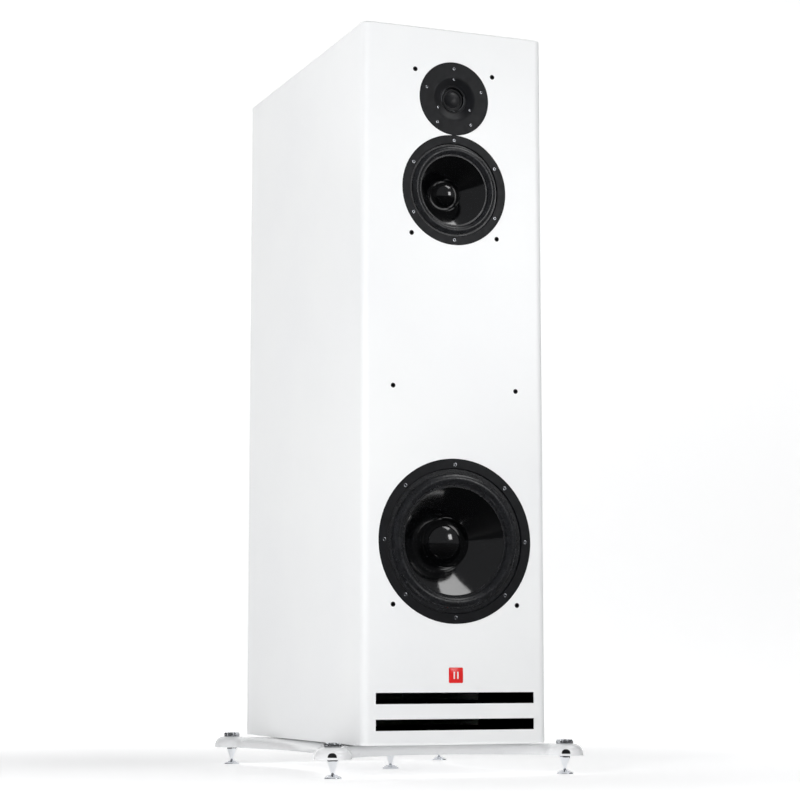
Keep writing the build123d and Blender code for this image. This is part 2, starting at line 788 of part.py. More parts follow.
with BuildPart() as base_plate:
    with BuildSketch(Plane.XY.offset(base_bottom)) as base_outline:
        with Locations((0, foot_mid_y)):
            Rectangle(2 * foot_x, 2 * side_half_span)
        with Locations((0, front_cut_y), (0, rear_cut_y)):
            Circle(front_cut, mode=Mode.SUBTRACT)
        with Locations((-side_cut_x, foot_mid_y), (side_cut_x, foot_mid_y)):
            Circle(side_cut, mode=Mode.SUBTRACT)
        with Locations(*corner_places):
            Circle(lobe_radius)
        necks = base_outline.vertices()
        fillet(necks, radius=neck_radius)
    extrude(amount=base_thick)
    fillet(base_plate.faces().sort_by(Axis.Z)[-1].edges(), radius=base_edge_radius)
    with BuildSketch(Plane.XY.offset(base_bottom)):
        with Locations(*corner_places):
            Circle(stud_bore_radius)
        with Locations(*bolt_places):
            Circle(bolt_radius)
    extrude(amount=base_thick, mode=Mode.SUBTRACT)
    with BuildSketch(Plane.XY.offset(base_bottom)):
        with Locations(centre_place):
            Circle(stud_bore_radius)
    extrude(amount=base_thick - 2, mode=Mode.SUBTRACT)
    with BuildSketch(Plane.XY.offset(base_bottom)):
        with Locations(*bolt_places):
            Circle(bolt_head_radius + 0.5)
    extrude(amount=bolt_head_tall + 1, mode=Mode.SUBTRACT)
    for x, y in front_lobes:
        with BuildSketch(window_plane(x, y, lobe_radius)) as window:
            Rectangle(window_width, window_tall, align=(Align.CENTER, Align.MIN))
            fillet(window.vertices().group_by(Axis.Y)[-1], radius=window_round)
        extrude(amount=-window_sink, mode=Mode.SUBTRACT)
save(base_plate, "base_plate")

with BuildPart() as lobe_plugs:
    for x, y in front_lobes:
        with BuildSketch(window_plane(x, y, lobe_radius - window_sink)) as plug:
            Rectangle(window_width, window_tall, align=(Align.CENTER, Align.MIN))
            fillet(plug.vertices().group_by(Axis.Y)[-1], radius=window_round)
        extrude(amount=lobe_plug_thick)
save(lobe_plugs, "lobe_plugs")

with BuildPart() as cabinet_pads:
    with BuildSketch(Plane.XY.offset(base_top)):
        with Locations(*bolt_places):
            Circle(pad_radius)
            Circle(bolt_radius, mode=Mode.SUBTRACT)
    extrude(amount=cabinet_bottom - base_top)
save(cabinet_pads, "cabinet_pads")

bolt_seat = base_bottom + bolt_head_tall + 1
with BuildPart() as base_bolts:
    with BuildSketch(Plane.XY.offset(bolt_seat)):
        with Locations(*bolt_places):
            Circle(bolt_head_radius)
    extrude(amount=-bolt_head_tall)
    with BuildSketch(Plane.XY.offset(bolt_seat)):
        with Locations(*bolt_places):
            Circle(bolt_radius)
    extrude(amount=cabinet_bottom + panel - 6 - bolt_seat)
    with BuildSketch(Plane.XY.offset(bolt_seat - bolt_head_tall)):
        with Locations(*bolt_places):
            RegularPolygon(2.8, 6)
    extrude(amount=3, mode=Mode.SUBTRACT)
save(base_bolts, "base_bolts")

# Feet: a pointed foot that screws into the base, on a domed floor shoe
stud_length_corner = base_thick + knob_height - 1.2
stud_length_centre = base_thick - 4


def foot_plane(x, y):
    return Plane(origin=(x, y, 0), x_dir=(1, 0, 0), z_dir=(0, -1, 0))


for place, (x, y) in all_places.items():
    stud_length = stud_length_centre if place == "centre" else stud_length_corner
    with BuildPart() as foot_spike:
        with BuildSketch(foot_plane(x, y)):
            Polygon(
                (0, shoe_floor + 0.05), (0.8, shoe_floor + 0.05), (spike_tip_radius, shoe_height),
                (collar_radius, base_bottom - collar_thick), (collar_radius, base_bottom - 0.05),
                (stud_radius, base_bottom - 0.05), (stud_radius, base_bottom + stud_length),
                (0, base_bottom + stud_length),
                align=None,
            )
        revolve(axis=Axis((x, y, 0), (0, 0, 1)))
    save(foot_spike, "foot_spike_" + place)

    with BuildPart() as foot_shoe:
        with BuildSketch(foot_plane(x, y)):
            Polygon(
                (0, 0), (shoe_radius, 0), (shoe_radius, 1.4), (shoe_radius - 1.2, 2.9),
                (shoe_radius - 3.4, 4.4), (shoe_radius - 6.4, 5.6), (5.2, shoe_height),
                (3.4, shoe_height), (1.6, shoe_floor), (0, shoe_floor),
                align=None,
            )
        revolve(axis=Axis((x, y, 0), (0, 0, 1)))
    save(foot_shoe, "foot_shoe_" + place)

for place, (x, y) in foot_places.items():
    with BuildPart() as foot_knob:
        with BuildSketch(Plane(origin=(x, y, base_top + 0.05))):
            Circle(knob_radius)
            with PolarLocations(knob_radius + 1.4, 8):
                Circle(3.4, mode=Mode.SUBTRACT)
        extrude(amount=knob_height)
        fillet(foot_knob.faces().sort_by(Axis.Z)[-1].edges(), radius=1.2)
        with BuildSketch(Plane(origin=(x, y, base_top + 0.05))):
            Circle(stud_bore_radius)
        extrude(amount=knob_height, mode=Mode.SUBTRACT)
    save(foot_knob, "foot_knob_" + place)
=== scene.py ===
from math import cos, pi, radians, sin

import bmesh
import bpy
from mathutils import Matrix, Vector


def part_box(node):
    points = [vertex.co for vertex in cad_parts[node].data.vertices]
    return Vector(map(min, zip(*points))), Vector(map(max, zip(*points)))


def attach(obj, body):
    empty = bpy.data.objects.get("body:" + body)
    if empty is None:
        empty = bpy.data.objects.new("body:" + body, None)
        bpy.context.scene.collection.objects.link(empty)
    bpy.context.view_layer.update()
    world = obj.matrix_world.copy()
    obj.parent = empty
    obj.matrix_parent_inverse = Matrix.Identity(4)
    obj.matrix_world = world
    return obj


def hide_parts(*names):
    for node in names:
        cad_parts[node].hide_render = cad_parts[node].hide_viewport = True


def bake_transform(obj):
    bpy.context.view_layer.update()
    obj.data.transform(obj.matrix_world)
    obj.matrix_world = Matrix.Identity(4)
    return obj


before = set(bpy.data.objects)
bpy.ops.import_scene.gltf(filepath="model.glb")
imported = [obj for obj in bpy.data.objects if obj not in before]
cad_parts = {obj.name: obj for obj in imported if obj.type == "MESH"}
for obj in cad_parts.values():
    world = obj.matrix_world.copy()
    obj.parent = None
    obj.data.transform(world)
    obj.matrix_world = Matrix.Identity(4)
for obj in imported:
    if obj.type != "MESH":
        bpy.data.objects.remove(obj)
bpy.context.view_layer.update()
mm = 0.001
print("frame loaded,", len(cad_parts), "nodes")

# places read from the frame

def middleOf(node):
    low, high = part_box(node)
    return (low + high) / 2

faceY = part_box("front_baffle")[0].y          # the baffle's front face
woofer = Vector((0, faceY, middleOf("woofer_basket").z))
midrange = Vector((0, faceY, middleOf("mid_basket").z))
tweeter = Vector((0, faceY, middleOf("tweeter_faceplate").z))
shoeNode = "foot_shoe_"
footPlaces = {node[len(shoeNode):]: middleOf(node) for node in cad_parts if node.startswith(shoeNode)}
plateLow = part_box("base_plate")[0]

# colours and node helpers

patternSettings = {
    "colourFrom": 0.35, "colourTo": 0.65,        # the part of the noise over which the colour changes
    "roughFrom": 0.3, "roughTo": 0.7, "roughDetail": 4.0,
    "wavePeriod": 2 * pi / 20,                   # the wave texture repeats this far apart at scale 1
}

def toLinear(hexColour):
    channels = [int(hexColour[i:i + 2], 16) / 255 for i in (1, 3, 5)]
    return tuple(c / 12.92 if c <= 0.04045 else ((c + 0.055) / 1.055) ** 2.4 for c in channels) + (1.0,)

def addNode(tree, kind, settings=None, links=None):
    node = tree.nodes.new(kind)
    for name, value in (settings or {}).items():
        if name in node.inputs:
            node.inputs[name].default_value = value
        else:
            setattr(node, name, value)
    for name, source in (links or {}).items():
        tree.links.new(source, node.inputs[name])
    return node

def newMaterial(name, settings):
    material = bpy.data.materials.new(name)
    material.use_nodes = True
    tree = material.node_tree
    surface = tree.nodes["Principled BSDF"]
    for socket, value in settings.items():
        surface.inputs[socket].default_value = value
    place = addNode(tree, "ShaderNodeTexCoord").outputs["Object"]
    return material, tree, surface, place

def perMetre(millimetres):
    return 1 / (millimetres * mm)              # texture scale for a feature of that size

def variedColour(tree, surface, place, first, second, size, detail=3.0):
    # two close colours in soft clouds, so many millimetres across
    cloud = addNode(tree, "ShaderNodeTexNoise", {"Scale": perMetre(size), "Detail": detail},
                    {"Vector": place})
    ramp = addNode(tree, "ShaderNodeValToRGB", None, {"Fac": cloud.outputs["Fac"]})
    start, end = ramp.color_ramp.elements
    start.position, start.color = patternSettings["colourFrom"], toLinear(first)
    end.position, end.color = patternSettings["colourTo"], toLinear(second)
    tree.links.new(ramp.outputs["Color"], surface.inputs["Base Color"])

def variedRoughness(tree, surface, place, low, high, size):
    cloud = addNode(tree, "ShaderNodeTexNoise",
                    {"Scale": perMetre(size), "Detail": patternSettings["roughDetail"]}, {"Vector": place})
    span = addNode(tree, "ShaderNodeMapRange", {
        "From Min": patternSettings["roughFrom"], "From Max": patternSettings["roughTo"],
        "To Min": low, "To Max": high}, {"Value": cloud.outputs["Fac"]})
    tree.links.new(span.outputs["Result"], surface.inputs["Roughness"])

def grainRelief(tree, surface, place, size, strength, depth, detail=4.0):
    # grain so many millimetres across and deep
    grain = addNode(tree, "ShaderNodeTexNoise", {"Scale": perMetre(size), "Detail": detail},
                    {"Vector": place})
    relief = addNode(tree, "ShaderNodeBump", {"Strength": strength, "Distance": depth * mm},
                     {"Height": grain.outputs["Fac"]})
    tree.links.new(relief.outputs["Normal"], surface.inputs["Normal"])

def ringRelief(tree, surface, place, centre, spacing, strength, depth):
    # rings round a driver's axis, one every so many millimetres
    shifted = addNode(tree, "ShaderNodeMapping", {"Location": (-centre.x, -centre.y, -centre.z)},
                      {"Vector": place})
    rings = addNode(tree, "ShaderNodeTexWave", {
        "wave_type": "RINGS", "rings_direction": "Y", "Distortion": 0.0,
        "Scale": perMetre(spacing) * patternSettings["wavePeriod"]}, {"Vector": shifted.outputs["Vector"]})
    relief = addNode(tree, "ShaderNodeBump", {"Strength": strength, "Distance": depth * mm},
                     {"Height": rings.outputs["Fac"]})
    tree.links.new(relief.outputs["Normal"], surface.inputs["Normal"])

# materials, each named for what it is

def whiteLacquer():
    # sprayed and polished polyurethane on fibreboard: even white, soft reflections, a faint orange peel
    material, tree, surface, place = newMaterial("sprayedWhiteLacquer", {
        "IOR": 1.5, "Roughness": 0.32, "Coat Weight": 0.35, "Coat Roughness": 0.16, "Coat IOR": 1.5})
    variedColour(tree, surface, place, "#F1F2F3", "#F4F5F5", 260)
    variedRoughness(tree, surface, place, 0.30, 0.36, 90)
    grainRelief(tree, surface, place, 2.4, 0.05, 0.02, 2.0)
    return material

def whitePlateLacquer():
    # the base is lacquered to a wetter gloss than the cabinet
    material, tree, surface, place = newMaterial("glossWhiteLacquer", {
        "IOR": 1.5, "Roughness": 0.16, "Coat Weight": 0.6, "Coat Roughness": 0.05, "Coat IOR": 1.5})
    variedColour(tree, surface, place, "#F2F3F4", "#F6F6F7", 180)
    variedRoughness(tree, surface, place, 0.14, 0.2, 60)
    grainRelief(tree, surface, place, 3.2, 0.04, 0.02, 2.0)
    return material

def blackPowderCoat():
    # cast aluminium with a satin black powder coat: dark grey sheen and a fine sandy grain
    material, tree, surface, place = newMaterial("powderCoatedAluminium", {"IOR": 1.42, "Roughness": 0.42})
    variedColour(tree, surface, place, "#0C0D10", "#121317", 14)
    variedRoughness(tree, surface, place, 0.36, 0.5, 9)
    grainRelief(tree, surface, place, 0.7, 0.22, 0.06)     # real grain is about 0.2 mm, drawn coarser to show
    return material

def butylRubber(centre, spacing):
    # moulded butyl rubber: satin, with faint turned rings left by the mould
    material, tree, surface, place = newMaterial("mouldedButylRubber", {
        "IOR": 1.52, "Roughness": 0.34, "Sheen Weight": 0.08, "Sheen Roughness": 0.4})
    variedColour(tree, surface, place, "#131416", "#1C1D20", 11)
    variedRoughness(tree, surface, place, 0.22, 0.32, 13)
    ringRelief(tree, surface, place, centre, spacing, 0.04, 0.05)
    return material

def glossCone():
    # spun aluminium under a hard black gloss: mirror-like, with a slow ripple left by the spinning
    material, tree, surface, place = newMaterial("glossBlackAluminium", {"IOR": 2.1, "Roughness": 0.09})
    variedColour(tree, surface, place, "#020203", "#040506", 6, 6.0)
    variedRoughness(tree, surface, place, 0.07, 0.14, 4)
    grainRelief(tree, surface, place, 22, 0.12, 0.4, 1.0)
    return material

def dopedSilk():
    # woven silk dome with a black damping coat: soft sheen over a very fine weave
    material, tree, surface, place = newMaterial("dopedSilk", {
        "IOR": 1.48, "Roughness": 0.38, "Sheen Weight": 0.15, "Sheen Roughness": 0.5})
    variedColour(tree, surface, place, "#0B0C0E", "#121317", 2)
    threads = perMetre(1.8)                      # 0.57 mm apart; the real 0.15 mm is too fine to show
    weave = addNode(tree, "ShaderNodeMath", {"operation": "MAXIMUM"})
    for socket, direction in enumerate("XZ"):
        bands = addNode(tree, "ShaderNodeTexWave", {"bands_direction": direction, "Scale": threads},
                        {"Vector": place})
        tree.links.new(bands.outputs["Fac"], weave.inputs[socket])
    relief = addNode(tree, "ShaderNodeBump", {"Strength": 0.15, "Distance": 0.05 * mm},
                     {"Height": weave.outputs["Value"]})
    tree.links.new(relief.outputs["Normal"], surface.inputs["Normal"])
    return material

def polishedChrome():
    # chrome plate on turned steel: near-mirror with faint wipe marks
    material, tree, surface, place = newMaterial("polishedChromePlate", {
        "Metallic": 1.0, "Base Color": toLinear("#E2E4E7"), "Roughness": 0.05})
    variedRoughness(tree, surface, place, 0.03, 0.09, 7)
    grainRelief(tree, surface, place, 5, 0.03, 0.02, 2.0)
    return material

def turnedSteel():
    # zinc plated mild steel, lathe turned: grey, with ring-shaped tool marks
    material, tree, surface, place = newMaterial("turnedMildSteel", {
        "Metallic": 1.0, "Base Color": toLinear("#8D9094"), "Roughness": 0.34, "Anisotropic": 0.4})
    variedColour(tree, surface, place, "#83868A", "#989B9F", 12)
    variedRoughness(tree, surface, place, 0.28, 0.42, 6)
    ringRelief(tree, surface, place, woofer, 0.8, 0.1, 0.03)
    return material

def sinteredFerrite():
    # pressed and fired strontium ferrite: charcoal, chalky, pitted
    material, tree, surface, place = newMaterial("sinteredFerrite", {"IOR": 1.6, "Roughness": 0.8})
    variedColour(tree, surface, place, "#26272A", "#333437", 3)
    grainRelief(tree, surface, place, 1.1, 0.4, 0.2)
    return material

def patchyOxideScrew():
    # black oxide steel, in random patches from near black to mid grey about 2 mm across
    material, tree, surface, place = newMaterial("blackOxideSteel", {"Metallic": 1.0, "Roughness": 0.22})
    variedColour(tree, surface, place, "#3A3C40", "#6C6F74", 2)
    variedRoughness(tree, surface, place, 0.16, 0.3, 2)
    grainRelief(tree, surface, place, 0.8, 0.1, 0.03)
    return material

def brightScrew():
    # nickel plated screws catch the light round the hexagon
    material, tree, surface, place = newMaterial("nickelPlatedSteel", {
        "Metallic": 1.0, "Base Color": toLinear("#9C9EA2"), "Roughness": 0.2})
    variedRoughness(tree, surface, place, 0.14, 0.28, 1.5)
    grainRelief(tree, surface, place, 0.6, 0.08, 0.02)
    return material

def fibreboard():
    # raw medium density fibreboard, sawn: warm brown and slightly fuzzy
    material, tree, surface, place = newMaterial("sawnFibreboard", {"IOR": 1.45, "Roughness": 0.85})
    variedColour(tree, surface, place, "#8A6A47", "#A17F58", 3, 8.0)
    grainRelief(tree, surface, place, 0.9, 0.35, 0.15, 8.0)
    return material

def flockWithPaintedShade():
    # the ports are lined in flock, drawn blacker than real cloth and with no reflection at all, as painted
    # shade so that nothing shows inside
    material, tree, surface, place = newMaterial("flockAndPaintedPortShade", {
        "IOR": 1.4, "Roughness": 0.95, "Specular IOR Level": 0.0})
    # the near-black colour here is painted shade inside the slots
    variedColour(tree, surface, place, "#010101", "#030303", 2)
    grainRelief(tree, surface, place, 0.8, 0.5, 0.2)
    return material

def blackNylon():
    # injection moulded nylon: soft black with a fine spark-eroded grain
    material, tree, surface, place = newMaterial("mouldedBlackNylon", {"IOR": 1.53, "Roughness": 0.5})
    variedColour(tree, surface, place, "#0C0D0E", "#141517", 8)
    grainRelief(tree, surface, place, 0.6, 0.25, 0.05)
    return material

def redEnamel():
    # stove enamel on a pressed plate: clear bright red with a wet surface
    material, tree, surface, place = newMaterial("redStoveEnamel", {
        "IOR": 1.5, "Roughness": 0.25, "Coat Weight": 0.4, "Coat Roughness": 0.08})
    variedColour(tree, surface, place, "#E01C1E", "#E82523", 5)
    grainRelief(tree, surface, place, 2, 0.05, 0.03)
    return material

def whiteEnamel():
    # the bars on the badge are a second enamel, pale and a little warmer than the cabinet
    material, tree, surface, place = newMaterial("whiteStoveEnamel", {"IOR": 1.5, "Roughness": 0.28})
    variedColour(tree, surface, place, "#E9E9E6", "#F3F3F0", 4)
    grainRelief(tree, surface, place, 1.5, 0.05, 0.03)
    return material

def goldPlate():
    # thin hard gold over turned brass
    material, tree, surface, place = newMaterial("goldPlatedBrass", {
        "Metallic": 1.0, "Base Color": toLinear("#D8A84A"), "Roughness": 0.16})
    variedRoughness(tree, surface, place, 0.1, 0.24, 4)
    grainRelief(tree, surface, place, 1.2, 0.08, 0.02)
    return material

def terminalPlastic(name, first, second):
    # moulded polycarbonate nut, clear gloss over a solid colour
    material, tree, surface, place = newMaterial(name, {"IOR": 1.58, "Roughness": 0.2, "Coat Weight": 0.3})
    variedColour(tree, surface, place, first, second, 5)
    grainRelief(tree, surface, place, 1.5, 0.06, 0.03)
    return material

def spiderCloth():
    # resin-stiffened cotton: yellow-brown open weave
    material, tree, surface, place = newMaterial("resinedCotton", {
        "IOR": 1.45, "Roughness": 0.8, "Sheen Weight": 0.2})
    variedColour(tree, surface, place, "#8E6C34", "#A9853F", 4)
    grainRelief(tree, surface, place, 0.9, 0.4, 0.2)
    return material

def coilFormer():
    # rolled aluminium foil, bright grey all over
    material, tree, surface, place = newMaterial("rolledAluminiumFoil", {"Metallic": 1.0, "Roughness": 0.3})
    variedColour(tree, surface, place, "#B4B6B8", "#C6C8CA", 3)
    grainRelief(tree, surface, place, 0.7, 0.1, 0.03)
    return material

def rubberCork():
    # pressed black rubber cork between the base and the cabinet
    material, tree, surface, place = newMaterial("rubberCorkPad", {"IOR": 1.5, "Roughness": 0.85})
    variedColour(tree, surface, place, "#151617", "#242527", 1.6)
    grainRelief(tree, surface, place, 1.0, 0.5, 0.2)
    return material

def circuitBoard():
    # green solder mask over woven glass
    material, tree, surface, place = newMaterial("solderMaskBoard", {"IOR": 1.55, "Roughness": 0.35})
    variedColour(tree, surface, place, "#1C5A35", "#266B40", 7)
    grainRelief(tree, surface, place, 1.0, 0.12, 0.05)
    return material

looks = {
    "cabinet": whiteLacquer(),
    "plate": whitePlateLacquer(),
    "powder": blackPowderCoat(),
    "wooferRubber": butylRubber(woofer, 2.2),
    "midRubber": butylRubber(midrange, 1.8),
    "gloss": glossCone(),
    "silk": dopedSilk(),
    "chrome": polishedChrome(),
    "steel": turnedSteel(),
    "ferrite": sinteredFerrite(),
    "oxide": patchyOxideScrew(),
    "nickel": brightScrew(),
    "board": fibreboard(),
    "flock": flockWithPaintedShade(),
    "nylon": blackNylon(),
    "red": redEnamel(),
    "white": whiteEnamel(),
    "gold": goldPlate(),
    "redCap": terminalPlastic("redPolycarbonate", "#A81718", "#BB2220"),
    "blackCap": terminalPlastic("blackPolycarbonate", "#0C0D0E", "#141516"),
    "cotton": spiderCloth(),
    "foil": coilFormer(),
    "pad": rubberCork(),
    "circuit": circuitBoard(),
}
print("materials made:", len(looks))

# CAD nodes that keep their shape

keptNodes = {
    "cabinet": ["front_baffle", "left_side_panel", "right_side_panel", "top_panel", "bottom_panel",
                "rear_panel"],
    "plate": ["base_plate"],
    "powder": ["woofer_basket", "mid_basket", "tweeter_faceplate"],
    "steel": ["woofer_top_plate", "woofer_yoke", "mid_motor", "tweeter_motor"],
    "chrome": ["tweeter_trim_ring"],
    "ferrite": ["woofer_magnet"],
    "nickel": ["woofer_screws", "mid_screws", "tweeter_screws"],
    "oxide": ["terminal_screws", "base_bolts"],
    "board": ["internal_braces", "port_shelves"],
    "flock": ["port_liners"],
    "nylon": ["grille_sockets", "lobe_plugs", "terminal_cup"],
    "gold": ["terminal_posts"],
    "redCap": ["terminal_cap_red"],
    "blackCap": ["terminal_cap_black"],
    "foil": ["woofer_voice_coil", "mid_voice_coil", "tweeter_voice_coil"],
    "pad": ["cabinet_pads"],
    "circuit": ["crossover"],
}
edgeSettings = {
    # how far each finish is rounded off along its edges, in millimetres
    "width": {"nickel": 0.15, "oxide": 0.15, "nylon": 0.3, "gold": 0.3, "redCap": 0.5, "blackCap": 0.5,
              "ferrite": 0.8},
    "segments": 2, "angle": 38, "weldGap": 0.01,
}

def softenEdges(piece, width):
    weld = piece.modifiers.new("weld", "WELD")
    weld.merge_threshold = edgeSettings["weldGap"] * mm
    bevel = piece.modifiers.new("softEdge", "BEVEL")
    bevel.width = width * mm
    bevel.segments = edgeSettings["segments"]
    bevel.limit_method = "ANGLE"
    bevel.angle_limit = radians(edgeSettings["angle"])
    bevel.harden_normals = True
    for polygon in piece.data.polygons:
        polygon.use_smooth = True

for look, nodes in keptNodes.items():
    for node in nodes:
        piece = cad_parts[node]
        piece.data.materials.clear()
        piece.data.materials.append(looks[look])
        if look in edgeSettings["width"]:
            softenEdges(piece, edgeSettings["width"][look])
print("kept nodes dressed")

# turned pieces

turnSettings = {"aroundDriver": 144, "aroundShoe": 96, "aroundSpike": 72, "aroundKnob": 160,
                "cornerSteps": 5, "cornerShare": 0.49, "sharpAngle": 32}

def smoothMesh(mesh, angle):
    for polygon in mesh.polygons:
        polygon.use_smooth = True
    mesh.set_sharp_from_angle(angle=radians(angle))

def softened(outline, steps=turnSettings["cornerSteps"]):
    # outline points are (radius, height) or (radius, height, corner radius); corners become arcs
    smooth = []
    for index, point in enumerate(outline):
        here = Vector(point[:2])
        if len(point) < 3:
            smooth.append(here)
            continue
        before = Vector(outline[index - 1][:2]) - here
        after = Vector(outline[(index + 1) % len(outline)][:2]) - here
        share = turnSettings["cornerShare"]      # a corner takes just under half of the shorter side
        reach = min(point[2], before.length * share, after.length * share)
        start = here + before.normalized() * reach
        end = here + after.normalized() * reach
        for step in range(steps + 1):
            t = step / steps
            smooth.append(start * (1 - t) ** 2 + here * 2 * t * (1 - t) + end * t ** 2)
    return smooth

def turned(name, outline, centre, alongY=True, segments=turnSettings["aroundDriver"], radiusAt=None):
    # closed turned solid; alongY runs back into the cabinet, otherwise the axis points up
    mesh = bpy.data.meshes.new(name)
    shape = bmesh.new()
    columns = []
    for segment in range(segments):
        angle = 2 * pi * segment / segments
        column = []
        for radius, height in outline:
            if radius == 0 and columns:
                column.append(columns[0][len(column)])    # one shared point on the axis
                continue
            r = (radiusAt(radius, angle) if radiusAt else radius) * mm
            across, up = r * cos(angle), r * sin(angle)
            offset = (across, height * mm, up) if alongY else (across, up, height * mm)
            column.append(shape.verts.new(centre + Vector(offset)))
        columns.append(column)
    rows = len(outline)
    for segment in range(segments):
        here, after = columns[segment], columns[(segment + 1) % segments]
        for row in range(rows):
            below = (row + 1) % rows
            corners = []
            for vertex in (here[row], after[row], after[below], here[below]):
                if vertex not in corners:
                    corners.append(vertex)
            if len(corners) > 2:
                shape.faces.new(corners)
    bmesh.ops.recalc_face_normals(shape, faces=shape.faces)
    shape.to_mesh(mesh)
    shape.free()
    smoothMesh(mesh, turnSettings["sharpAngle"])
    piece = bpy.data.objects.new(name, mesh)
    bpy.context.scene.collection.objects.link(piece)
    return piece

def finishPiece(piece, look, node, body):
    piece.data.materials.append(looks[look])
    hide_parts(node)
    if body:
        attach(piece, body)
    return piece

# cones, caps, surrounds and spiders

diaphragmBuild = {
    # what all the diaphragms share: points along each outline, and small sizes in millimetres
    "coneSteps": 24, "capSteps": 16, "rollSteps": 28, "waveSteps": 12,
    "glueStep": 0.5, "skirtWall": 0.7, "capDepth": 1.8, "capInset": 2, "capWall": 1.6,
    "lip": 1.4, "arch": 0.86,                    # the roll is a little flatter than a half circle
    "spiderOuterLip": 2, "spiderInnerLip": 1, "blendFront": -0.01, "blendBack": 0.05,
}

def arcPoints(centreR, centreH, radiusR, radiusH, fromAngle, toAngle, steps):
    return [(centreR + radiusR * cos(fromAngle + (toAngle - fromAngle) * step / steps),
             centreH + radiusH * sin(fromAngle + (toAngle - fromAngle) * step / steps))
            for step in range(steps + 1)]

def coneOutline(dims):
    front = []
    steps = diaphragmBuild["coneSteps"]
    for step in range(steps + 1):
        t = step / steps
        radius = dims["edge"] + (dims["neck"] - dims["edge"]) * t
        flare = t + dims["flare"] * t * (1 - t)
        front.append((radius, dims["edgeDepth"] + (dims["neckDepth"] - dims["edgeDepth"]) * flare))
    back = [(radius, depth + dims["paper"]) for radius, depth in reversed(front)]
    return front + back

def capOutline(dims):
    # part of a ball, with a short glued skirt round it
    build = diaphragmBuild
    cap, rim, crown = dims["cap"], dims["rim"], dims["rim"] - dims["rise"]
    skirtOut, skirtTop = cap + dims["skirt"], rim - dims["skirtRise"]
    ball = (cap ** 2 + dims["rise"] ** 2) / (2 * dims["rise"])
    front = [(0, crown)]
    for step in range(1, build["capSteps"] + 1):
        radius = cap * step / build["capSteps"]
        front.append((radius, crown + ball - (ball ** 2 - radius ** 2) ** 0.5))
    skirt = [(cap + build["glueStep"], rim + build["glueStep"]), (skirtOut, skirtTop),
             (skirtOut + build["skirtWall"], skirtTop + build["glueStep"]),
             (cap + build["glueStep"], rim + build["capDepth"]),
             (cap - build["capInset"], rim + build["capDepth"])]
    return front + skirt + [(0, crown + build["capWall"])]

def rollOutline(dims):
    middle = (dims["rollIn"] + dims["rollOut"]) / 2
    half = (dims["rollOut"] - dims["rollIn"]) / 2
    high = half * diaphragmBuild["arch"]
    lip, steps = diaphragmBuild["lip"], diaphragmBuild["rollSteps"]
    wall, seat = dims["wall"], dims["seat"]
    top = [(dims["lipIn"], seat - wall), (dims["rollIn"] - lip, seat - wall)]
    top += arcPoints(middle, seat - wall, half, -high, pi, 0, steps)
    top += [(dims["rollOut"] + lip, seat - wall), (dims["lipOut"], seat - wall)]
    under = [(dims["lipOut"], seat)]
    under += arcPoints(middle, seat, half - wall, -(high - wall), 0, pi, steps)
    under += [(dims["lipIn"], seat)]
    return top + under

def spiderOutline(dims):
    steps = dims["waves"] * diaphragmBuild["waveSteps"]
    face = []
    for step in range(steps + 1):
        t = step / steps
        radius = dims["inner"] + (dims["outer"] - dims["inner"]) * t
        face.append((radius, dims["depth"] + dims["swell"] * sin(2 * pi * dims["waves"] * t)))
    return face + [(radius, depth + dims["cloth"]) for radius, depth in reversed(face)]

def bendBetween(piece):
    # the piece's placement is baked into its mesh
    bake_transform(piece)

wooferSizes = {
    "cone": {"edge": 86.0, "neck": 26.2, "edgeDepth": 4.4, "neckDepth": 50, "flare": -0.16, "paper": 1.2},
    "cap": {"cap": 35.6, "rim": 40.2, "rise": 16.4, "skirt": 2.6, "skirtRise": 1.8},
    "roll": {"lipIn": 83.4, "rollIn": 86.4, "rollOut": 104.6, "lipOut": 111.2, "seat": 4.0, "wall": 1.2},
    "spider": {"inner": 26.4, "outer": 66.0, "depth": 66, "waves": 5, "swell": 2.2, "cloth": 0.8},
}
midSizes = {
    "cone": {"edge": 57.2, "neck": 19.5, "edgeDepth": 4.0, "neckDepth": 33, "flare": -0.16, "paper": 0.9},
    "cap": {"cap": 19.8, "rim": 30.6, "rise": 7.6, "skirt": 2.6, "skirtRise": 1.6},
    "roll": {"lipIn": 55.2, "rollIn": 57.6, "rollOut": 71.0, "lipOut": 73.6, "seat": 3.6, "wall": 1.0},
    "spider": {"inner": 19.6, "outer": 45.0, "depth": 47, "waves": 4, "swell": 1.4, "cloth": 0.7},
}

def makeDiaphragm(name, sizes, centre, body, rubber):
    cone = turned(name + "Cone", coneOutline(sizes["cone"]), centre)
    finishPiece(cone, "gloss", name + "_cone", body)
    cap = turned(name + "DustCap", capOutline(sizes["cap"]), centre)
    finishPiece(cap, "gloss", name + "_dust_cap", body)
    roll = turned(name + "Surround", rollOutline(sizes["roll"]), centre)
    finishPiece(roll, rubber, name + "_surround", None)
    bendBetween(roll)
    spider = turned(name + "Spider", spiderOutline(sizes["spider"]), centre)
    finishPiece(spider, "cotton", name + "_spider", None)
    bendBetween(spider)

makeDiaphragm("woofer", wooferSizes, woofer, "woofer_diaphragm", "wooferRubber")
makeDiaphragm("mid", midSizes, midrange, "mid_diaphragm", "midRubber")
print("woofer and midrange diaphragms made")

# tweeter dome

tweeterSizes = {
    "dome": {"radius": 13.0, "rim": 9.2, "rise": 5.0, "thick": 0.45, "steps": 16},
    "roll": {"lipIn": 13.2, "rollIn": 13.6, "rollOut": 17.6, "lipOut": 18.0, "seat": 9.4, "wall": 0.4},
    "bendLip": 0.2,
}

def domeOutline(dims):
    steps, rim, rise, thick = dims["steps"], dims["rim"], dims["rise"], dims["thick"]
    angles = [pi / 2 * step / steps for step in range(1, steps + 1)]
    outer = [(dims["radius"] * sin(angle), rim - rise * cos(angle)) for angle in angles]
    inner = [((dims["radius"] - thick) * sin(angle), rim - (rise - thick) * cos(angle))
             for angle in reversed(angles)]
    return [(0, rim - rise)] + outer + inner + [(0, rim - rise + thick)]

